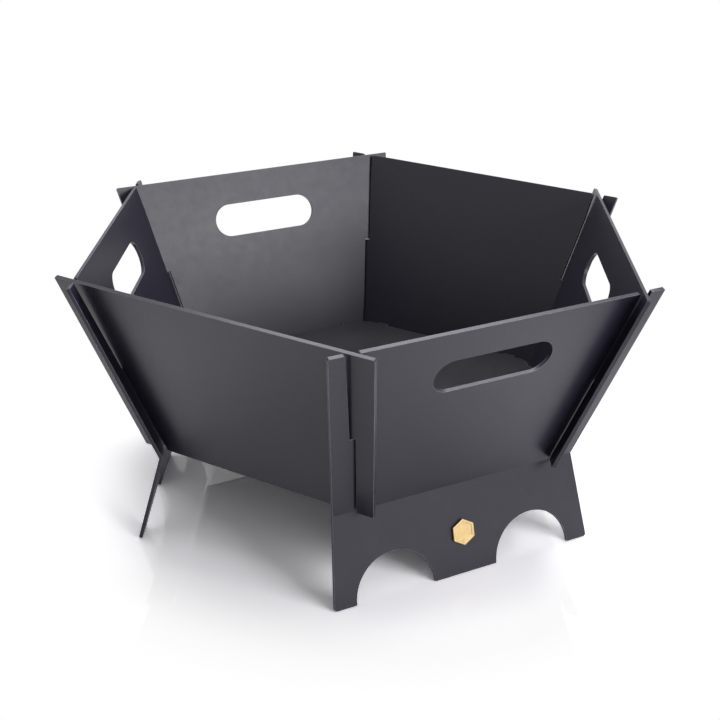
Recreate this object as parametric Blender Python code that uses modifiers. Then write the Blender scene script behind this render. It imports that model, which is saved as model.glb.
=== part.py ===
"""Flat-pack steel fire pit: six plates that halve into each other round a hexagon, a loose floor plate and a small badge.

Three plates are bent at the foot of the bowl and go on down as legs. Their slots are open at the top. The three plates
between them are flat, have their slots open at the bottom, and drop in from above. Nothing is welded or screwed.

Run with: blender --background --python part.py
The hexagon's axis is Z, the floor is at Z = 0, and all sizes are in metres.
"""

import math

import bmesh
import bpy
from mathutils import Matrix, Vector

# Sheet and bowl. Edges and heights are taken at the middle of the sheet.
PLATE = 0.003
RIM_EDGE = 0.240
BASE_EDGE = 0.178
RIM_HEIGHT = 0.2238
FOLD_HEIGHT = 0.070
TAB = 0.0178
TAB_ROUND = 0.0011

# Half-lap slots along the corner lines
SIDE_CLEARANCE = 0.0003
END_CLEARANCE = 0.0003
LEG_SLOT_TAPER = 0.0024
DROP_IN_SLOT_TAPER = 0.0002
FLARE_LENGTH = 0.024
FLARE_WIDTH = 0.0012
MOUTH_ROUND = 0.0018
TAB_MOUTH_ROUND = 0.0012
SLOT_CORNER = 0.0003

# Legs
FOOT_REACH = 0.1735
LEG_HALF_WIDTH = 0.1148
ARCH_RADIUS = 0.0340
MIDDLE_FOOT = 0.0558
FOOT_ROUND = 0.0022
ARCH_ROUND = 0.0011
ARCH_START = 0.0022
BEND_INSIDE = 0.0015
BEND_STEPS = 8

# Hand holes. The depths are from the rim to the hole's middle, in the two kinds of plate.
HANDLE_LENGTH = 0.0994
HANDLE_HEIGHT = 0.0294
LEG_HANDLE_DEPTH = 0.0412
DROP_IN_HANDLE_DEPTH = 0.0432

# Floor plate
FLOOR_PLATE = 0.003
FLOOR_RISE = 0.0022
FLOOR_GAP = 0.0030
FLOOR_TAB = 0.0110
FLOOR_TAB_INSET = 0.0190
FLOOR_CORNER_CUT = 0.0045
REST_GAP = 0.0003

# Badge
BADGE_WIDTH = 0.0185
BADGE_PLATE = 0.0022
BADGE_BELOW_FOLD = 0.0390
BADGE_BEVEL = 0.0004
BADGE_GAP = 0.0003

# A round outline is made of straight steps that stray from the true arc by no more than this.
ARC_SAG = 0.00003

# What follows from the driving sizes
COS_30 = math.cos(math.radians(30))
RIM_APOTHEM = RIM_EDGE * COS_30
BASE_APOTHEM = BASE_EDGE * COS_30
SIDE_LENGTH = math.hypot(RIM_APOTHEM - BASE_APOTHEM, RIM_HEIGHT - FOLD_HEIGHT)
SIDE_LEAN = math.atan2(RIM_APOTHEM - BASE_APOTHEM, RIM_HEIGHT - FOLD_HEIGHT)
LEG_LEAN = math.atan2(FOOT_REACH - BASE_APOTHEM, FOLD_HEIGHT)
LEG_LENGTH = (FOLD_HEIGHT - PLATE / 2 * math.sin(LEG_LEAN)) / math.cos(LEG_LEAN)

# The bend, at the middle of the sheet
BEND_RADIUS = BEND_INSIDE + PLATE / 2
BEND_HALF_ANGLE = (SIDE_LEAN + LEG_LEAN) / 2
BEND_TANGENT = BEND_RADIUS * math.tan(BEND_HALF_ANGLE)

# The corner line, seen in the plane of a side: how far it moves out for each metre up the side
CORNER_SLOPE = (RIM_EDGE - BASE_EDGE) / 2 / SIDE_LENGTH
CORNER_STRETCH = math.hypot(1, CORNER_SLOPE)
CORNER_LENGTH = SIDE_LENGTH * CORNER_STRETCH

# Neighbouring sheets cross at this angle. A slot is cut square to its sheet, so it has to be wider than the other sheet.
NORMALS_DOT = math.cos(SIDE_LEAN) ** 2 * 0.5 + math.sin(SIDE_LEAN) ** 2
CROSSING = math.acos(NORMALS_DOT)
SLOT_HALF = PLATE / 2 / math.tan(CROSSING / 2) + SIDE_CLEARANCE


def clear_scene():
    for old in list(bpy.data.objects):
        bpy.data.objects.remove(old, do_unlink=True)


def new_collection(name):
    collection = bpy.data.collections.new(name)
    bpy.context.scene.collection.children.link(collection)
    return collection


def make_material(name, colour, roughness, metallic):
    material = bpy.data.materials.new(name)
    material.use_nodes = True
    shader = material.node_tree.nodes["Principled BSDF"]
    shader.inputs["Base Color"].default_value = (*colour, 1)
    shader.inputs["Roughness"].default_value = roughness
    shader.inputs["Metallic"].default_value = metallic
    material.diffuse_color = (*colour, 1)
    return material


# Outlines

def arc(centre, radius, start, end):
    """Points on an arc from one angle to another, both ends included."""
    step = 2 * math.acos(1 - ARC_SAG / radius)
    steps = max(2, math.ceil(abs(end - start) / step))
    angles = [start + (end - start) * i / steps for i in range(steps + 1)]
    return [(centre[0] + radius * math.cos(a), centre[1] + radius * math.sin(a)) for a in angles]


def rounded_corner(before, corner, after, radius):
    """The arc that rounds one corner of an outline, or the corner itself where the radius is nothing."""
    point = Vector(corner)
    to_before = Vector(before) - point
    to_after = Vector(after) - point
    opening = to_before.angle(to_after)
    if radius <= 0 or opening > math.radians(179):
        return [corner]
    # A rounding never takes more than 45% of the shorter of its two sides.
    set_back = radius / math.tan(opening / 2)
    set_back = min(set_back, 0.45 * min(to_before.length, to_after.length))
    radius = set_back * math.tan(opening / 2)
    bisector = (to_before.normalized() + to_after.normalized()).normalized()
    centre = point + bisector * (radius / math.sin(opening / 2))
    first = point + to_before.normalized() * set_back - centre
    turn = (math.pi - opening) * math.copysign(1, to_after.cross(to_before))
    start = math.atan2(first.y, first.x)
    return arc(centre, radius, start, start + turn)


def rounded_outline(corners):
    """A closed outline from corners (x, y, radius), each rounded to its own radius."""
    outline = []
    for i, (x, y, radius) in enumerate(corners):
        before = corners[i - 1][:2]
        after = corners[(i + 1) % len(corners)][:2]
        outline += rounded_corner(before, (x, y), after, radius)
    return outline


def on_corner_line(along, out):
    """A point in the plane of a side: its distance up the corner line, and its distance out from that line."""
    x = BASE_EDGE / 2 + (along * CORNER_SLOPE + out) / CORNER_STRETCH
    y = (along - out * CORNER_SLOPE) / CORNER_STRETCH
    return x, y


def at_height(height, out):
    """The point at this height up a side that lies this far out from the corner line."""
    return on_corner_line(height * CORNER_STRETCH + out * CORNER_SLOPE, out)


def slot_corners(mouth_height, end_along, flare_along, taper):
    """A slot's corners, from its mouth on the bowl's side, down to its end and back to its mouth on the tab's side."""
    return [
        (*at_height(mouth_height, -SLOT_HALF - FLARE_WIDTH), MOUTH_ROUND),
        (*on_corner_line(flare_along, -SLOT_HALF), 0),
        (*on_corner_line(end_along, -SLOT_HALF), SLOT_CORNER),
        (*on_corner_line(end_along, SLOT_HALF), SLOT_CORNER),
        (*at_height(mouth_height, SLOT_HALF + taper), TAB_MOUTH_ROUND),
    ]


def mirrored(right_half):
    """The whole list of corners from its right half, which runs from the top to the bottom."""
    return right_half + [(-x, y, radius) for x, y, radius in reversed(right_half)]


def leg_side_outline():
    """A side with a leg below it, unrolled flat. Y is 0 at the fold, the bowl's side is above and the leg is below."""
    slot_end = CORNER_LENGTH / 2 - END_CLEARANCE / 2
    slot = slot_corners(SIDE_LENGTH, slot_end, CORNER_LENGTH - FLARE_LENGTH, LEG_SLOT_TAPER)
    arch_centre = MIDDLE_FOOT / 2 + ARCH_RADIUS
    outer = slot + [
        (*at_height(SIDE_LENGTH, TAB), TAB_ROUND),
        (*at_height(0, TAB), 0),
        (LEG_HALF_WIDTH, -LEG_LENGTH, FOOT_ROUND),
        (arch_centre + ARCH_RADIUS, -LEG_LENGTH, ARCH_ROUND),
    ]
    first_angle = math.asin(ARCH_START / ARCH_RADIUS)
    arch = arc((arch_centre, -LEG_LENGTH), ARCH_RADIUS, first_angle, math.pi - first_angle)
    middle = [(arch_centre - ARCH_RADIUS, -LEG_LENGTH, ARCH_ROUND)]
    return rounded_outline(mirrored(outer + [(x, y, 0) for x, y in arch] + middle))


def drop_in_outline():
    """A flat side whose slots open at the bottom."""
    slot_end = CORNER_LENGTH / 2 + END_CLEARANCE / 2
    slot = slot_corners(0, slot_end, FLARE_LENGTH, DROP_IN_SLOT_TAPER)
    right_half = [
        (*at_height(SIDE_LENGTH, TAB), TAB_ROUND),
        (*at_height(0, TAB), TAB_ROUND),
    ]
    return rounded_outline(mirrored(right_half + slot[::-1]))


def handle_outline(depth):
    """The long round-ended hand hole, its middle this far below the rim."""
    radius = HANDLE_HEIGHT / 2
    reach = HANDLE_LENGTH / 2 - radius
    height = SIDE_LENGTH - depth
    right_end = arc((reach, height), radius, -math.pi / 2, math.pi / 2)
    left_end = arc((-reach, height), radius, math.pi / 2, 3 * math.pi / 2)
    return right_end + left_end


def floor_outline():
    """The floor plate: a hexagon a little smaller than the bowl, with two resting tabs on each edge."""
    underside = FOLD_HEIGHT + FLOOR_RISE
    inner_face = BASE_APOTHEM + FLOOR_RISE * math.tan(SIDE_LEAN) - PLATE / 2 / math.cos(SIDE_LEAN)
    tab_apothem = inner_face - REST_GAP
    edge_apothem = tab_apothem - FLOOR_GAP
    half_edge = edge_apothem * math.tan(math.radians(30))
    tab_outer = half_edge - FLOOR_TAB_INSET + FLOOR_TAB / 2
    tab_inner = tab_outer - FLOOR_TAB
    one_edge = [(-half_edge + FLOOR_CORNER_CUT, edge_apothem)]
    for side in (-1, 1):
        ends = sorted((side * tab_outer, side * tab_inner))
        one_edge += [
            (ends[0], edge_apothem),
            (ends[0], tab_apothem),
            (ends[1], tab_apothem),
            (ends[1], edge_apothem),
        ]
    one_edge.append((half_edge - FLOOR_CORNER_CUT, edge_apothem))
    outline = []
    for i in range(6):
        # The normals of the hexagon's edges point at 0, -60, -120 degrees and so on, seen from +X.
        turn = Matrix.Rotation(math.radians(-90 - 60 * i), 2)
        outline += [tuple(turn @ Vector(point)) for point in one_edge]
    return outline, underside


# Solids

def merge_triangles(mesh):
    """The curve's fill is many thin triangles. This welds them and joins them into a few large faces."""
    work = bmesh.new()
    work.from_mesh(mesh)
    bmesh.ops.remove_doubles(work, verts=work.verts, dist=1e-6)
    bmesh.ops.dissolve_degenerate(work, edges=work.edges, dist=1e-6)
    inner_edges = [edge for edge in work.edges if not edge.is_boundary]
    bmesh.ops.dissolve_limit(work, angle_limit=math.radians(1), verts=[], edges=inner_edges)
    work.to_mesh(mesh)
    work.free()


def filled_sheet(name, outlines):
    """A flat open sheet from a filled curve: the first outline is its edge and the others are holes."""
    curve = bpy.data.curves.new(name, "CURVE")
    curve.dimensions = "2D"
    curve.fill_mode = "BOTH"
    for outline in outlines:
        spline = curve.splines.new("POLY")
        spline.points.add(len(outline) - 1)
        spline.use_cyclic_u = True
        for point, (x, y) in zip(spline.points, outline):
            point.co = (x, y, 0, 1)
    helper = bpy.data.objects.new(name, curve)
    bpy.context.scene.collection.objects.link(helper)
    evaluated = helper.evaluated_get(bpy.context.evaluated_depsgraph_get())
    mesh = bpy.data.meshes.new_from_object(evaluated)
    bpy.data.objects.remove(helper)
    bpy.data.curves.remove(curve)
    mesh.name = name
    merge_triangles(mesh)
    return mesh


def bent_place(x, y):
    """Where a point of the unrolled sheet lies once the sheet is bent: across, out from the fold, and up."""
    if y >= BEND_TANGENT:
        return x, y * math.sin(SIDE_LEAN), y * math.cos(SIDE_LEAN)
    if y <= -BEND_TANGENT:
        return x, -y * math.sin(LEG_LEAN), y * math.cos(LEG_LEAN)
    # The bend's centre is on the outer side, on the line that halves the angle.
    halving = (SIDE_LEAN - LEG_LEAN) / 2
    to_centre = BEND_RADIUS / math.cos(BEND_HALF_ANGLE)
    turn = halving + BEND_HALF_ANGLE * y / BEND_TANGENT
    out = to_centre * math.cos(halving) - BEND_RADIUS * math.cos(turn)
    up = -to_centre * math.sin(halving) + BEND_RADIUS * math.sin(turn)
    return x, out, up


def bend_sheet(mesh):
    """Adds lines across the sheet at the bend, then moves every point to its place on the bent sheet."""
    work = bmesh.new()
    work.from_mesh(mesh)
    for i in range(BEND_STEPS + 1):
        bmesh.ops.bisect_plane(
            work,
            geom=work.verts[:] + work.edges[:] + work.faces[:],
            dist=1e-6,
            plane_co=(0, BEND_TANGENT * (2 * i / BEND_STEPS - 1), 0),
            plane_no=(0, 1, 0),
        )
    for vert in work.verts:
        vert.co = bent_place(vert.co.x, vert.co.y)
    work.to_mesh(mesh)
    work.free()


def add_plate(collection, name, mesh, thickness, material, matrix):
    """One plate object: an open sheet, thickened evenly to both sides."""
    plate = bpy.data.objects.new(name, mesh)
    collection.objects.link(plate)
    plate.matrix_world = matrix
    if not mesh.materials:
        mesh.materials.append(material)
    thicken = plate.modifiers.new("Thickness", "SOLIDIFY")
    thicken.thickness = thickness
    thicken.offset = 0
    thicken.use_even_offset = True
    return plate


def side_matrix(direction):
    """Stands a side at the fold's middle, with its outer face towards this direction."""
    turn = Matrix.Rotation(math.radians(direction - 90), 4, "Z")
    return turn @ Matrix.Translation((0, BASE_APOTHEM, FOLD_HEIGHT))


def leg_panel_mesh(name, with_handle):
    outlines = [leg_side_outline()]
    if with_handle:
        outlines.append(handle_outline(LEG_HANDLE_DEPTH))
    mesh = filled_sheet(name, outlines)
    bend_sheet(mesh)
    return mesh


def drop_in_mesh(name, with_handle):
    outlines = [drop_in_outline()]
    if with_handle:
        outlines.append(handle_outline(DROP_IN_HANDLE_DEPTH))
    mesh = filled_sheet(name, outlines)
    # The flat sheet stands up along Z and leans out by the side's own angle.
    mesh.transform(Matrix.Rotation(math.pi / 2 - SIDE_LEAN, 4, "X"))
    return mesh


def add_floor_plate(collection, material):
    outline, underside = floor_outline()
    mesh = filled_sheet("floor_plate", [outline])
    place = Matrix.Translation((0, 0, underside + FLOOR_PLATE / 2))
    return add_plate(collection, "floor_plate", mesh, FLOOR_PLATE, material, place)


def add_badge(collection, material, direction):
    """A plain six-sided brass plate on the middle of a leg, standing a hair off the paint."""
    bpy.ops.mesh.primitive_cylinder_add(
        vertices=6, radius=BADGE_WIDTH / 2 / COS_30, depth=BADGE_PLATE
    )
    badge = bpy.context.active_object
    badge.name = "badge_plate"
    badge.data.name = "badge_plate"
    for owner in list(badge.users_collection):
        owner.objects.unlink(badge)
    collection.objects.link(badge)
    badge.data.materials.append(material)
    # In the leg's own plane: down the slope, then out past the paint by half the badge.
    down = BADGE_BELOW_FOLD
    off = PLATE / 2 + BADGE_GAP + BADGE_PLATE / 2
    out = down * math.sin(LEG_LEAN) + off * math.cos(LEG_LEAN)
    up = -down * math.cos(LEG_LEAN) + off * math.sin(LEG_LEAN)
    tilt = Matrix.Rotation(LEG_LEAN - math.pi / 2, 4, "X")
    badge.matrix_world = side_matrix(direction) @ Matrix.Translation((0, out, up)) @ tilt
    edge = badge.modifiers.new("Edge", "BEVEL")
    edge.width = BADGE_BEVEL
    edge.segments = 2
    edge.limit_method = "ANGLE"
    return badge


def build():
    clear_scene()
    parts = new_collection("fire_pit")
    coated_steel = make_material("coated_steel", (0.052, 0.051, 0.058), 0.5, 0.0)
    floor_steel = make_material("floor_steel", (0.045, 0.044, 0.050), 0.55, 0.0)
    brass = make_material("brass", (0.78, 0.58, 0.26), 0.3, 1.0)

    leg_with_handle = leg_panel_mesh("leg_panel_with_handle", True)
    leg_plain = leg_panel_mesh("leg_panel_plain", False)
    drop_in_with_handle = drop_in_mesh("drop_in_panel_with_handle", True)
    drop_in_plain = drop_in_mesh("drop_in_panel_plain", False)

    # Each panel and the direction that its outer face looks, in degrees from +X
    panels = (
        ("front_leg_panel", leg_with_handle, -60),
        ("left_leg_panel", leg_with_handle, 180),
        ("rear_leg_panel", leg_plain, 60),
        ("front_side_panel", drop_in_plain, -120),
        ("back_side_panel", drop_in_with_handle, 120),
        ("right_side_panel", drop_in_with_handle, 0),
    )
    for name, mesh, direction in panels:
        add_plate(parts, name, mesh, PLATE, coated_steel, side_matrix(direction))
    add_floor_plate(parts, floor_steel)
    add_badge(parts, brass, -60)
    bpy.context.view_layer.update()


build()
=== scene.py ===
# %% [markdown]
# # A six-sided fire pit that packs flat
# Six plates of 3 mm steel halve into each other round a hexagon. Three of them are bent at the foot of the
# bowl and go on down as legs, the other three drop in from above, and a loose plate is the floor.
#
# The plates could be drawn again here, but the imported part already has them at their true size, with every
# slot and hand hole. So this file takes them as they are, rounds their cut edges, coats them, and sets up
# the studio.

# %% Load the part
import math

import bmesh
import bpy
from mathutils import Matrix, Vector


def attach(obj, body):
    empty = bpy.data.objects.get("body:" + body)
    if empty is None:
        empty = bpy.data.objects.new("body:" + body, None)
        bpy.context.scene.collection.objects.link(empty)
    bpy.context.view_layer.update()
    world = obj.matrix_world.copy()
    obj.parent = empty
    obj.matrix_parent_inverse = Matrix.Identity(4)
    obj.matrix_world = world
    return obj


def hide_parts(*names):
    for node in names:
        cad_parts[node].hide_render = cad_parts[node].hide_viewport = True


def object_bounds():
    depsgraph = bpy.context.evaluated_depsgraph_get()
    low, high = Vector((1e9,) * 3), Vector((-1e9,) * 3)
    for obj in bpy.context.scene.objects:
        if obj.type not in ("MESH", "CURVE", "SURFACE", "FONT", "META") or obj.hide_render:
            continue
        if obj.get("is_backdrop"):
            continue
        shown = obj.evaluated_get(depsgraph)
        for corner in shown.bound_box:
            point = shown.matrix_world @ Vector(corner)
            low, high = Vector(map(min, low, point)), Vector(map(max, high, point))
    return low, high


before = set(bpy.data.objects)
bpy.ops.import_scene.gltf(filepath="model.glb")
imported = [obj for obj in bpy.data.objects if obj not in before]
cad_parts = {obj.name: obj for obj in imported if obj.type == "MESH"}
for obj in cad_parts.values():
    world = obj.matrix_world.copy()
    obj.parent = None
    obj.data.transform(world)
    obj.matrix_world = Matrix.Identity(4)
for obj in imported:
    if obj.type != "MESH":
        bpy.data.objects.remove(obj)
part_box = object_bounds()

scene = bpy.context.scene
for leftover in ("Cube", "Camera", "Light"):
    if leftover in bpy.data.objects:
        bpy.data.objects.remove(bpy.data.objects[leftover])
print("pieces:", ", ".join(sorted(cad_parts)))

# %% [markdown]
# ## Camera
# The camera stands a metre in front of the pit and half a metre up, and looks down at the corner nearest to
# it.
#
# A camera can be aimed with a Track To constraint, but then it can't lean to one side. Here a position and
# three angles say where it looks: the heading turns it about the vertical, the tilt lowers its view, and
# the roll is the small lean of a tripod that isn't quite level. Matrices are multiplied from right to left,
# so the roll acts first.

# %% Camera
CAMERA_PLACE = (0.0240, -0.9889, 0.5587)
CAMERA_HEADING = math.radians(1.438)
CAMERA_TILT = math.radians(24.371)
CAMERA_ROLL = math.radians(0.619)
LENS_MM = 63.98
SENSOR_MM = 36

camera = bpy.data.objects.new("camera", bpy.data.cameras.new("camera"))
scene.collection.objects.link(camera)
camera.data.sensor_width = SENSOR_MM
camera.data.lens = LENS_MM
camera.matrix_world = (
    Matrix.Translation(CAMERA_PLACE)
    @ Matrix.Rotation(CAMERA_HEADING, 4, "Z")
    @ Matrix.Rotation(math.pi / 2 - CAMERA_TILT, 4, "X")
    @ Matrix.Rotation(CAMERA_ROLL, 4, "Z")
)
scene.camera = camera
print("camera looks down by", round(math.degrees(CAMERA_TILT), 1), "degrees")

# %% [markdown]
# ## Nodes from a script
# Every light and finish below is a tree of nodes. Such a tree can be drawn by hand in the Shader Editor,
# but a script keeps its numbers in view and can build it again at any time.
#
# Adding a node takes three steps in Blender: make it, set its own properties, and fill its input sockets.
# An input takes either a plain value or a link from another node's output. Two helpers do all of that in
# one line.

# %% Add and join nodes
def fill(tree, socket, value):
    """Gives an input socket a plain value, or a link if the value is another node's output."""
    if isinstance(value, bpy.types.NodeSocket):
        tree.links.new(value, socket)
    else:
        socket.default_value = value


def add_node(tree, kind, settings=None, **values):
    """A new node. Settings are its own properties, and the other names are its input sockets."""
    node = tree.nodes.new(kind)
    for name, value in (settings or {}).items():
        setattr(node, name, value)
    for name, value in values.items():
        fill(tree, node.inputs[name.replace("_", " ")], value)
    return node


print("two helpers add and join nodes")

# %% [markdown]
# ## Sums and mixed shaders
# A Math node works out one sum, and a Mix Shader node goes from one surface to another. Some of their inputs
# share a name, so they are filled in order and not by name.

# %% Sums and mixes
def maths(tree, operation, first, second=0.0):
    """One sum on two numbers or sockets."""
    node = add_node(tree, "ShaderNodeMath", {"operation": operation})
    for socket, value in zip(node.inputs, (first, second)):
        fill(tree, socket, value)
    return node.outputs["Value"]


def mix_shaders(tree, amount, first, second):
    """The first shader at amount 0 and the second at 1."""
    node = add_node(tree, "ShaderNodeMixShader")
    for socket, value in zip(node.inputs, (amount, first, second)):
        fill(tree, socket, value)
    return node.outputs["Shader"]


print("two helpers for sums and mixed shaders")

# %% [markdown]
# ## The room
# In a studio the walls are far away and white. A world that shines at full strength would look right behind
# the pit, but it would also light the inside of the bowl from all sides and take its depth away.
#
# The Light Path node tells rays apart. A ray that looks, straight from the camera, by way of a reflection,
# or through something clear, sees plain white. A ray that gathers light finds the world dim, so that the
# softboxes do the work.

# %% World
WORLD_FILL = 0.30
WORLD_TINT = (0.96, 0.955, 1.0, 1)
WHITE = (1, 1, 1, 1)


def looked_at(tree):
    """1 for rays that look: from the camera, by way of a reflection, or through something clear."""
    path = add_node(tree, "ShaderNodeLightPath")
    seen = maths(tree, "MAXIMUM", path.outputs["Is Camera Ray"], path.outputs["Is Transmission Ray"])
    return maths(tree, "MAXIMUM", seen, path.outputs["Is Glossy Ray"])


scene.view_settings.view_transform = "Standard"
world = bpy.data.worlds.new("studio")
world.use_nodes = True
scene.world = world
tree = world.node_tree
dim = tree.nodes["Background"]
fill(tree, dim.inputs["Color"], WORLD_TINT)
fill(tree, dim.inputs["Strength"], WORLD_FILL)
white = add_node(tree, "ShaderNodeBackground", Color=WHITE, Strength=1.0)
room = mix_shaders(tree, looked_at(tree), dim.outputs[0], white.outputs[0])
fill(tree, tree.nodes["World Output"].inputs["Surface"], room)
print("world lights with", WORLD_FILL, "and looks white")

# %% [markdown]
# ## Softboxes
# Dark satin paint shows what it faces more than its own colour, so the lamps have to be large. Spot lamps
# would leave small hard glints on the sheets. Area lamps look like the cloth front of a softbox.
#
# A wide one hangs above the pit and a little behind it. It lights the floor and runs along the top edges as
# a bright line. A low one stands at the right in front, and gives the back wall of the bowl its sheen. A
# weak one in front lifts the faces that turn to the camera. The power is worked out from how bright the
# cloth looks and from its area, so that a box can be made larger without a change in that look.

# %% Softboxes
LAMP_TINT = (0.963, 0.948, 1.0)
AIM_POINT = Vector((0, 0, 0.1))


def softbox(name, place, width, height, level):
    """A rectangular lamp that shines at the middle of the bowl. Its level is how bright its cloth looks."""
    lamp = bpy.data.lights.new(name, "AREA")
    lamp.shape = "RECTANGLE"
    lamp.size = width
    lamp.size_y = height
    lamp.energy = level * math.pi * width * height
    lamp.color = LAMP_TINT
    holder = bpy.data.objects.new(name, lamp)
    scene.collection.objects.link(holder)
    holder.location = place
    aim = AIM_POINT - Vector(place)
    holder.rotation_euler = aim.to_track_quat("-Z", "Y").to_euler()
    print(name, round(lamp.energy, 1), "W at", round(aim.length, 2), "m")


softbox("softbox_above", place=(0.08, 0.58, 1.60), width=1.4, height=0.8, level=9.4)
softbox("softbox_right", place=(1.36, -1.06, 0.74), width=1.0, height=0.65, level=11.8)
softbox("softbox_front", place=(0.65, -1.85, 1.20), width=1.4, height=0.8, level=1.0)

# %% [markdown]
# ## The floor that is lit
# The pit stands on a sheet of white acrylic. It catches the bowl's shadow and throws light back up at the
# plates.
#
# A backdrop that curves up into a wall is one way to hide the horizon. A plane that is far larger than the
# view and turns white away from the pit does the same with less, and takes no space behind the pit when the
# camera moves. Light that bounces finds the plain acrylic below. Rays that look at the floor find the
# finish of the next cells.

# %% Floor plane and its own surface
FLOOR_SIZE = 12.0
ACRYLIC = (0.9, 0.9, 0.91, 1)
ACRYLIC_ROUGHNESS = 0.05

bpy.ops.mesh.primitive_plane_add(size=FLOOR_SIZE, location=(0, 0, 0))
floor = bpy.context.active_object
floor.name = "studio_floor"
acrylic = bpy.data.materials.new("white_acrylic")
acrylic.use_nodes = True
floor.data.materials.append(acrylic)
tree = acrylic.node_tree
surface = tree.nodes["Principled BSDF"]
surface.inputs["Base Color"].default_value = ACRYLIC
surface.inputs["Roughness"].default_value = ACRYLIC_ROUGHNESS
floor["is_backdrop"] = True
print("floor is", FLOOR_SIZE, "m wide")

# %% [markdown]
# ## Where the floor turns white
# In a photograph of such a pit the floor is grey under the bowl and pure white a hand's breadth beyond the
# feet. That could be painted as an image, but distance from the middle says it with one number: the length
# of the place vector. A ring is 0 near the pit, 1 far from it, and goes smoothly from one to the other.
#
# Three rings are needed. The first whitens the floor for the camera. The second is much wider and works for
# the reflections in the plates, which would lose their sheen if the lit floor ended close to the pit. The
# third ends the floor's own mirror image, so that the feet are mirrored and the rim isn't.

# %% Rings round the pit
CAMERA_FADE = (0.19, 0.27)
MIRRORED_FADE = (0.26, 0.60)
SHINE_FADE = (0.24, 0.31)

place = add_node(tree, "ShaderNodeTexCoord").outputs["Object"]
reach = add_node(tree, "ShaderNodeVectorMath", {"operation": "LENGTH"}, Vector=place)


def ring(inner, outer):
    """0 inside the inner radius, 1 beyond the outer one, and a smooth ramp between."""
    ramp = add_node(
        tree, "ShaderNodeMapRange", {"interpolation_type": "SMOOTHSTEP"},
        Value=reach.outputs["Value"], From_Min=inner, From_Max=outer,
    )
    return ramp.outputs["Result"]


path = add_node(tree, "ShaderNodeLightPath")
faded = maths(tree, "MULTIPLY", ring(*CAMERA_FADE), path.outputs["Is Camera Ray"])
faded = maths(tree, "MAXIMUM", faded, ring(*MIRRORED_FADE))
shining = maths(tree, "SUBTRACT", 1.0, ring(*SHINE_FADE))
print("floor fades to white between", CAMERA_FADE[0], "and", CAMERA_FADE[1], "m")

# %% [markdown]
# ## The floor that is seen
# Acrylic has a white body under a clear, flat skin. The body is a Diffuse shader, and the skin a Glossy one
# without any roughness, which is a mirror. The Fresnel node mixes them as real plastic does: faint from
# above, stronger at a low angle. A limit keeps the mirror weak when the camera is low.
#
# The Principled shader could do both at once, but here the body fades into plain white and the skin
# doesn't, so they have to be two shaders. The body is brighter than any paint, for the lamps alone would
# leave the open floor light grey.

# %% Floor as it is seen
LIFTED_WHITE = (1.533, 1.533, 1.5111, 1)
ACRYLIC_IOR = 1.5
SHINE_LIMIT = 0.11

body = add_node(tree, "ShaderNodeBsdfDiffuse", Color=LIFTED_WHITE)
plain = add_node(tree, "ShaderNodeEmission", Color=WHITE, Strength=1.0)
skin = add_node(tree, "ShaderNodeBsdfGlossy", Color=WHITE, Roughness=0.0)
fresnel = add_node(tree, "ShaderNodeFresnel", IOR=ACRYLIC_IOR)
open_floor = mix_shaders(tree, faded, body.outputs[0], plain.outputs[0])
shine = maths(tree, "MINIMUM", fresnel.outputs["Fac"], SHINE_LIMIT)
shine = maths(tree, "MULTIPLY", shine, shining)
polished = mix_shaders(tree, shine, open_floor, skin.outputs[0])
whole = mix_shaders(tree, looked_at(tree), surface.outputs[0], polished)
fill(tree, tree.nodes["Material Output"].inputs["Surface"], whole)
print("floor material has", len(tree.nodes), "nodes")

# %% [markdown]
# ## Patterns
# The finishes need a few more tools. Noise gives soft random values, and its scale counts the lumps in a
# metre. A Map Range node turns such a value into a useful one, for noise keeps close to its middle and
# seldom reaches 0 or 1. A Mix node blends two colours.
#
# A node group packs a pattern into one node with named sockets. The same nodes could be copied into every
# material, but then a change to the coat would have to be made in each of them.

# %% Helpers for patterns and groups
NOISE_MIDDLE = (0.3, 0.7)
MIX_FACTOR, MIX_FIRST, MIX_SECOND, MIX_RESULT = 0, 6, 7, 2


def spread(tree, value, source, target):
    """Maps a number from the source range to the target range, and holds it at the ends."""
    node = add_node(
        tree, "ShaderNodeMapRange", Value=value,
        From_Min=source[0], From_Max=source[1], To_Min=target[0], To_Max=target[1],
    )
    return node.outputs["Result"]


def noise(tree, place, scale, detail=2.0, roughness=0.5):
    """Soft random values from 0 to 1. Scale counts the lumps in a metre."""
    node = add_node(tree, "ShaderNodeTexNoise", Vector=place, Scale=scale, Detail=detail, Roughness=roughness)
    return node.outputs["Fac"]


def blend(tree, amount, first, second):
    """The first colour at amount 0 and the second at 1. The node's colour sockets go by number."""
    node = add_node(tree, "ShaderNodeMix", {"data_type": "RGBA"})
    for index, value in ((MIX_FACTOR, amount), (MIX_FIRST, first), (MIX_SECOND, second)):
        fill(tree, node.inputs[index], value)
    return node.outputs[MIX_RESULT]


def new_group(name, kind, inputs, outputs):
    """An empty node group with its sockets, and the two nodes that stand for them inside."""
    group = bpy.data.node_groups.new(name, kind)
    for label, socket_type, default in inputs:
        socket = group.interface.new_socket(label, in_out="INPUT", socket_type=socket_type)
        if default is not None:
            socket.default_value = default
    for label, socket_type in outputs:
        group.interface.new_socket(label, in_out="OUTPUT", socket_type=socket_type)
    return group, group.nodes.new("NodeGroupInput"), group.nodes.new("NodeGroupOutput")


SKIN_OUTPUTS = [
    ("Colour", "NodeSocketColor"), ("Roughness", "NodeSocketFloat"), ("Normal", "NodeSocketVector")
]
print("a skin group puts out", ", ".join(label.lower() for label, kind in SKIN_OUTPUTS))

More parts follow.
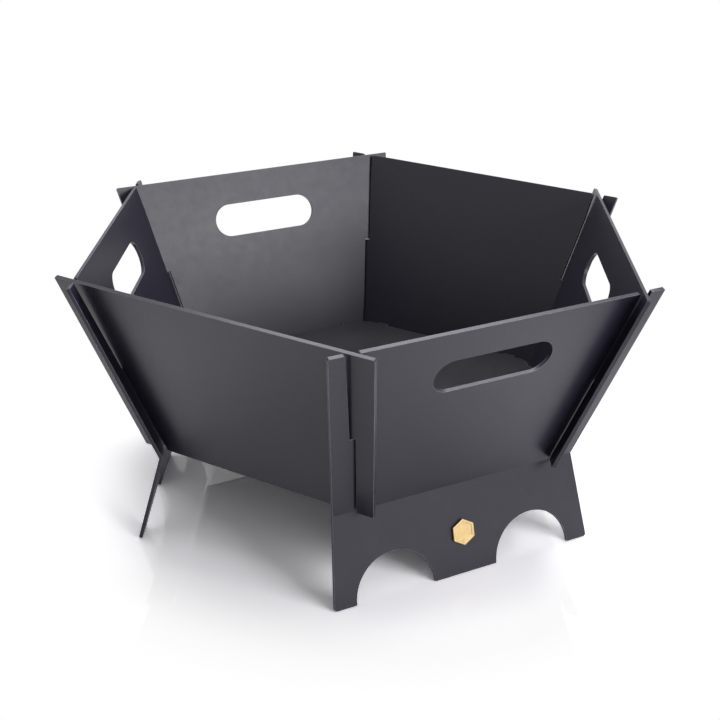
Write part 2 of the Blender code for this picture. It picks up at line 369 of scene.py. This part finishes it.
# %% [markdown]
# ## Powder coat
# The steel carries a baked powder coat: satin, nearly black with a breath of violet. Seen close it has a
# fine pebbled skin, because the powder melts into small lumps before it sets. Seen from further off it is
# very slightly cloudy, and a few specks of pale dust have settled on it. Along an edge the coat is thinner
# and lighter, and a painted highlight makes it lighter still.
#
# A photograph of a coated sheet would show its own lamps and would repeat. Five sizes of noise never
# repeat, and they follow the real sizes of lumps, smears and clouds, because their place is measured in
# metres on the plate.

# %% Powder coat: the patterns
GRAIN_PER_METRE = 1500.0
PEBBLES_PER_METRE = 520.0
CLOUDS_PER_METRE = 26.0
SMEARS_PER_METRE = 130.0
DUST_PER_METRE = 900.0

coat, coat_in, coat_out = new_group(
    "powder coat", "ShaderNodeTree",
    [("Base", "NodeSocketColor", (0.05, 0.05, 0.05, 1)), ("Satin", "NodeSocketFloat", 0.45),
     ("Thin", "NodeSocketFloat", 0.0)],
    SKIN_OUTPUTS,
)
place = add_node(coat, "ShaderNodeTexCoord").outputs["Object"]
grain = noise(coat, place, GRAIN_PER_METRE, detail=2.0)
pebbles = noise(coat, place, PEBBLES_PER_METRE, detail=1.0)
clouds = noise(coat, place, CLOUDS_PER_METRE, detail=4.0, roughness=0.6)
smears = noise(coat, place, SMEARS_PER_METRE, detail=3.0, roughness=0.6)
specks = noise(coat, place, DUST_PER_METRE, detail=0.0)
print("powder coat has pebbles of", round(1000 / PEBBLES_PER_METRE, 1), "mm")

# %% [markdown]
# ## Powder coat: its colour
# The base colour is multiplied by the clouds, the smears and the grain, each a few percent up and down.
# Only the highest peaks of the dust noise are kept, so that they stay single specks.
#
# The last input blends in a lighter, cooler colour, more in some places than in others. Partly that is a
# coat that pulled back from an edge while it melted, and partly a painted highlight where the top light
# would catch the edges. A mask of the edges could come from their curvature, but a flat sheet's edges are
# faces of their own, so a second material with a thinner coat and a painted highlight says it better.

# %% Powder coat: colour
CLOUD_SHADE = (0.92, 1.08)
SMEAR_SHADE = (0.95, 1.05)
GRAIN_SHADE = (0.94, 1.06)
GRAIN_MIDDLE = (0.35, 0.65)
DUST_PEAKS = (0.76, 0.82)
DUST_COVER = (0.0, 0.12)
DUST_COLOUR = (0.16, 0.155, 0.165, 1)
# Painted highlight: the edges' light, cool colour is partly a thinner coat and partly painted top light.
THIN_HIGHLIGHT_MIDDLE = (0.35, 0.65)
THIN_HIGHLIGHT_COVER = (0.45, 1.0)
THIN_COAT_HIGHLIGHT_COLOUR = (0.255, 0.26, 0.345, 1)

cloudy = spread(coat, clouds, NOISE_MIDDLE, CLOUD_SHADE)
smeared = spread(coat, smears, NOISE_MIDDLE, SMEAR_SHADE)
grainy = spread(coat, grain, GRAIN_MIDDLE, GRAIN_SHADE)
value = maths(coat, "MULTIPLY", maths(coat, "MULTIPLY", cloudy, smeared), grainy)
shaded = add_node(
    coat, "ShaderNodeVectorMath", {"operation": "SCALE"}, Vector=coat_in.outputs["Base"], Scale=value
)
dusty = blend(coat, spread(coat, specks, DUST_PEAKS, DUST_COVER), shaded.outputs["Vector"], DUST_COLOUR)
# Where the thinner coat shows, its lighter colour is also a painted highlight on the edges.
thin_and_highlight_amount = maths(coat, "MULTIPLY", coat_in.outputs["Thin"], spread(coat, smears, THIN_HIGHLIGHT_MIDDLE, THIN_HIGHLIGHT_COVER))
fill(coat, coat_out.inputs["Colour"], blend(coat, thin_and_highlight_amount, dusty, THIN_COAT_HIGHLIGHT_COLOUR))
print("clouds shade the coat by", CLOUD_SHADE[0], "to", CLOUD_SHADE[1])

# %% [markdown]
# ## Powder coat: its gloss and its skin
# The gloss of a baked coat varies a little, and that shows as a soft unevenness in a reflection. So the
# clouds and smears also move the roughness. The pebbled skin is a Bump node: it bends the light as if the
# surface had height. Real displacement would need millions of faces for lumps that are a tenth of a
# millimetre high.

# %% Powder coat: roughness and normal
CLOUD_GLOSS = (-0.008, 0.008)
SMEAR_GLOSS = (-0.018, 0.018)
GRAIN_HEIGHT = 0.4
COAT_BUMP_STRENGTH = 0.22
COAT_BUMP_DEPTH = 0.00012

uneven = maths(coat, "ADD", coat_in.outputs["Satin"], spread(coat, clouds, NOISE_MIDDLE, CLOUD_GLOSS))
uneven = maths(coat, "ADD", uneven, spread(coat, smears, NOISE_MIDDLE, SMEAR_GLOSS))
fill(coat, coat_out.inputs["Roughness"], uneven)

height = maths(coat, "ADD", maths(coat, "MULTIPLY", grain, GRAIN_HEIGHT), pebbles)
bump = add_node(coat, "ShaderNodeBump", Strength=COAT_BUMP_STRENGTH, Distance=COAT_BUMP_DEPTH, Height=height)
fill(coat, coat_out.inputs["Normal"], bump.outputs["Normal"])
print("powder coat group has", len(coat.nodes), "nodes")

# %% [markdown]
# ## Coated materials
# The six panels are anthracite. The floor plate's coat is made blacker still. Each has one material for
# its faces and one for its edges, where the coat is thinner and carries a painted highlight.
#
# All this could be one material with a mask, but four short ones can be changed one by one. The coat's
# group only gives values. The Principled shader that uses them stands in each material, with its reflection
# turned down a bit, for a powder coat reflects less than glossy lacquer.

# %% Coated materials
COAT_REFLECTION = 0.38
PANEL_COLOUR = (0.0115, 0.0104, 0.0185, 1)
FLOOR_PLATE_COLOUR = (0.0085, 0.0082, 0.0105, 1)


def skinned(name, group, **values):
    """A material whose shader takes colour, roughness and normal from a skin group, and that shader."""
    material = bpy.data.materials.new(name)
    material.use_nodes = True
    tree = material.node_tree
    skin = tree.nodes.new("ShaderNodeGroup")
    skin.node_tree = group
    for label, value in values.items():
        skin.inputs[label].default_value = value
    shader = tree.nodes["Principled BSDF"]
    fill(tree, shader.inputs["Base Color"], skin.outputs["Colour"])
    fill(tree, shader.inputs["Roughness"], skin.outputs["Roughness"])
    fill(tree, shader.inputs["Normal"], skin.outputs["Normal"])
    print("material", name, values)
    return material, shader


def coated(name, base, satin, thin_coat_and_highlight):
    """A material with the powder coat in one colour, gloss and thickness, and a painted highlight with the
    thinner coat.
    """
    material, shader = skinned(name, coat, Base=base, Satin=satin, Thin=thin_coat_and_highlight)
    shader.inputs["Specular IOR Level"].default_value = COAT_REFLECTION
    return material


panel_face = coated("panel_coat", PANEL_COLOUR, satin=0.38, thin_coat_and_highlight=0.0)
# The edge materials carry the thinner coat with its painted highlight.
panel_edge = coated("panel_coat_on_edges", PANEL_COLOUR, satin=0.30, thin_coat_and_highlight=0.6)
plate_face = coated("floor_plate_coat", FLOOR_PLATE_COLOUR, satin=0.38, thin_coat_and_highlight=0.0)
plate_edge = coated("floor_plate_coat_on_edges", FLOOR_PLATE_COLOUR, satin=0.42, thin_coat_and_highlight=0.5)

# %% [markdown]
# ## Clean sheets
# A plate arrives as loose triangles with stored normals, and a bevel needs faces that share their edges.
# The triangles could be joined in Edit Mode, but that would change the part's own mesh. Modifiers leave it
# alone.
#
# One small geometry group drops the stored normals and welds the triangles. A second one sets smooth
# shading, except along edges that turn by more than 30 degrees.

# %% Weld and smooth groups
WELD = 0.00001
SHARP = math.radians(30)
GEOMETRY_IN = [("Geometry", "NodeSocketGeometry", None)]
GEOMETRY_OUT = [("Geometry", "NodeSocketGeometry")]

weld, weld_in, weld_out = new_group("weld a sheet", "GeometryNodeTree", GEOMETRY_IN, GEOMETRY_OUT)
bare = add_node(
    weld, "GeometryNodeRemoveAttribute", Geometry=weld_in.outputs["Geometry"], Name="custom_normal"
)
welded = add_node(weld, "GeometryNodeMergeByDistance", Geometry=bare.outputs["Geometry"], Distance=WELD)
fill(weld, weld_out.inputs["Geometry"], welded.outputs["Geometry"])

smooth, smooth_in, smooth_out = new_group(
    "smooth except at sharp edges", "GeometryNodeTree", GEOMETRY_IN, GEOMETRY_OUT
)
angle = add_node(smooth, "GeometryNodeInputMeshEdgeAngle").outputs["Unsigned Angle"]
faces = add_node(
    smooth, "GeometryNodeSetShadeSmooth", {"domain": "FACE"},
    Geometry=smooth_in.outputs["Geometry"], Shade_Smooth=True,
)
edges = add_node(
    smooth, "GeometryNodeSetShadeSmooth", {"domain": "EDGE"},
    Geometry=faces.outputs["Geometry"], Shade_Smooth=False,
    Selection=maths(smooth, "GREATER_THAN", angle, SHARP),
)
fill(smooth, smooth_out.inputs["Geometry"], edges.outputs["Geometry"])
print("groups:", weld.name, "and", smooth.name)

# %% [markdown]
# ## Soft edges
# Plates that are cut by laser are deburred, which takes the sharpness off every edge. In the light that
# shows as a thin bright line, so the rounding matters although it is only a third of a millimetre.
#
# Decimate first joins the triangles into large flat faces. Then a Bevel rounds each edge and gives its own
# faces the second material slot, which holds the thinner coat and its painted highlight. A bevel shader node
# would be quicker to render, but it would show nothing on the outline, and it can't change the material.

# %% Round the cut edges
EDGE_ROUND = 0.00035
EDGE_STEPS = 3
FLAT = math.radians(1)
EDGE_SLOT = 1


def round_edges(plate):
    """The modifiers that turn loose triangles into a sheet with rounded edges."""
    plate.modifiers.new("Weld", "NODES").node_group = weld
    flat = plate.modifiers.new("Flat faces", "DECIMATE")
    flat.decimate_type = "DISSOLVE"
    flat.angle_limit = FLAT
    plate.modifiers.new("Smooth", "NODES").node_group = smooth
    edge = plate.modifiers.new("Edge", "BEVEL")
    edge.width = EDGE_ROUND
    edge.segments = EDGE_STEPS
    edge.limit_method = "ANGLE"
    edge.angle_limit = SHARP
    edge.harden_normals = True
    edge.material = EDGE_SLOT


def coat_sheet(sheet, face, edge):
    """Puts the face material and then the edge material in the sheet's slots."""
    sheet.data.materials.clear()
    sheet.data.materials.append(face)
    sheet.data.materials.append(edge)


for name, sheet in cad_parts.items():
    if name == "badge_plate":
        continue
    if name == "floor_plate":
        coat_sheet(sheet, plate_face, plate_edge)
    else:
        coat_sheet(sheet, panel_face, panel_edge)
    round_edges(sheet)
    print(name, "is coated and has", len(sheet.modifiers), "modifiers")

# %% [markdown]
# ## Brass
# The badge on the front leg is brushed brass. Brushing leaves fine lines that run one way, with tiny pits
# among them, and the air leaves a faint patina.
#
# An anisotropic shader can stretch the highlight of brushed metal, but it draws no strokes. Noise pulled
# out along one line does draw them, in colour, gloss and height at once.

# %% Brass group: the patterns and the colour
STROKES_PER_METRE = 5200.0
STROKE_STRETCH = 0.04
PITS_PER_METRE = 3800.0
PATINA_PER_METRE = 260.0
PATINA_PEAKS = (0.35, 0.7)
BRASS_COLOUR = (0.55, 0.40, 0.185, 1)
PATINA_COLOUR = (0.47, 0.335, 0.150, 1)
STROKE_COLOUR = (0.64, 0.50, 0.27, 1)
STROKE_COVER = (0.0, 0.3)

brass, _, brass_out = new_group("brushed brass", "ShaderNodeTree", [], SKIN_OUTPUTS)
place = add_node(brass, "ShaderNodeTexCoord").outputs["Object"]
stretched = add_node(brass, "ShaderNodeMapping", Vector=place, Scale=(1.0, STROKE_STRETCH, STROKE_STRETCH))
strokes = noise(brass, stretched.outputs["Vector"], STROKES_PER_METRE, detail=3.0)
pits = noise(brass, place, PITS_PER_METRE, detail=1.0)
patina = spread(brass, noise(brass, place, PATINA_PER_METRE, detail=3.0), PATINA_PEAKS, (0.0, 1.0))
aged = blend(brass, patina, BRASS_COLOUR, PATINA_COLOUR)
stroked = blend(brass, spread(brass, strokes, NOISE_MIDDLE, STROKE_COVER), aged, STROKE_COLOUR)
fill(brass, brass_out.inputs["Colour"], stroked)
print("brass has strokes of", round(1000 / STROKES_PER_METRE, 2), "mm")

# %% [markdown]
# ## Brass: its gloss and its skin
# Each stroke is a little smoother or rougher than the metal beside it, so the strokes move the roughness up
# and down. They also have height. The pits have height only, and a little less of it.

# %% Brass group: roughness and normal
BRASS_ROUGHNESS = 0.33
STROKE_GLOSS = (-0.07, 0.07)
PIT_HEIGHT = 0.7
BRASS_BUMP_STRENGTH = 0.25
BRASS_BUMP_DEPTH = 0.00005

rough = maths(brass, "ADD", BRASS_ROUGHNESS, spread(brass, strokes, NOISE_MIDDLE, STROKE_GLOSS))
fill(brass, brass_out.inputs["Roughness"], rough)

height = maths(brass, "ADD", strokes, maths(brass, "MULTIPLY", pits, PIT_HEIGHT))
bump = add_node(
    brass, "ShaderNodeBump", Strength=BRASS_BUMP_STRENGTH, Distance=BRASS_BUMP_DEPTH, Height=height
)
fill(brass, brass_out.inputs["Normal"], bump.outputs["Normal"])

brushed_brass, shader = skinned("brushed_brass", brass)
shader.inputs["Metallic"].default_value = 1

# %% [markdown]
# ## Badge
# The part's own badge is a six-sided block. A stamped one takes its place: the same block, with the middle
# of its front face pressed in, so that a rim stands round a sunk field.
#
# A Boolean could cut the field out, but it leaves ragged faces that bevel badly. BMesh edits the faces of a
# copy of the block's mesh. Inset draws a smaller outline inside a face, and its depth then moves that
# smaller face inward. The front is the one of the two broad faces that lies nearer to the camera's side.

# %% Press the field in
BADGE_RIM = 0.0019
BADGE_STEP = 0.0003
BADGE_SUNK = 0.0006

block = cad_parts["badge_plate"]
badge = bpy.data.objects.new("stamped_badge", block.data.copy())
scene.collection.objects.link(badge)
badge.matrix_world = block.matrix_world
shape = bmesh.new()
shape.from_mesh(badge.data)
bmesh.ops.remove_doubles(shape, verts=shape.verts, dist=WELD)
bmesh.ops.dissolve_limit(shape, angle_limit=FLAT, verts=shape.verts, edges=shape.edges)
broad = sorted(shape.faces, key=lambda face: face.calc_area())[-2:]
front = min(broad, key=lambda face: (block.matrix_world @ face.calc_center_median()).y)
bmesh.ops.inset_region(shape, faces=[front], thickness=BADGE_RIM)
bmesh.ops.inset_region(shape, faces=[front], thickness=BADGE_STEP, depth=-BADGE_SUNK)
shape.to_mesh(badge.data)
shape.free()
print("badge has", len(badge.data.polygons), "faces")

# %% [markdown]
# ## Badge: finish and place
# A stamped edge is never sharp, so a small bevel rounds the rim and the step. A badge like this is riveted
# or glued on, so it goes wherever the front leg goes. It stands for the part's plain block, and takes the
# brass of the part's list.

# %% Finish the badge and fix it to the leg
BADGE_EDGE_ROUND = 0.00015
BADGE_EDGE_STEPS = 2

badge.data.materials.clear()
badge.data.materials.append(brushed_brass)
edge = badge.modifiers.new("Edge", "BEVEL")
edge.width = BADGE_EDGE_ROUND
edge.segments = BADGE_EDGE_STEPS
edge.angle_limit = SHARP
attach(badge, "front_leg")
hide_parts("badge_plate")
print("badge rides on the front leg")

# %% [markdown]
# ## Measure
# The last lines measure the part and everything that is seen of it. The two boxes should agree, because a
# finish adds no size. Both are printed.

# %% Measure and finish
seen_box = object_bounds()
for label, box in (("part", part_box), ("seen", seen_box)):
    print(label, [[round(value, 4) for value in corner] for corner in box])
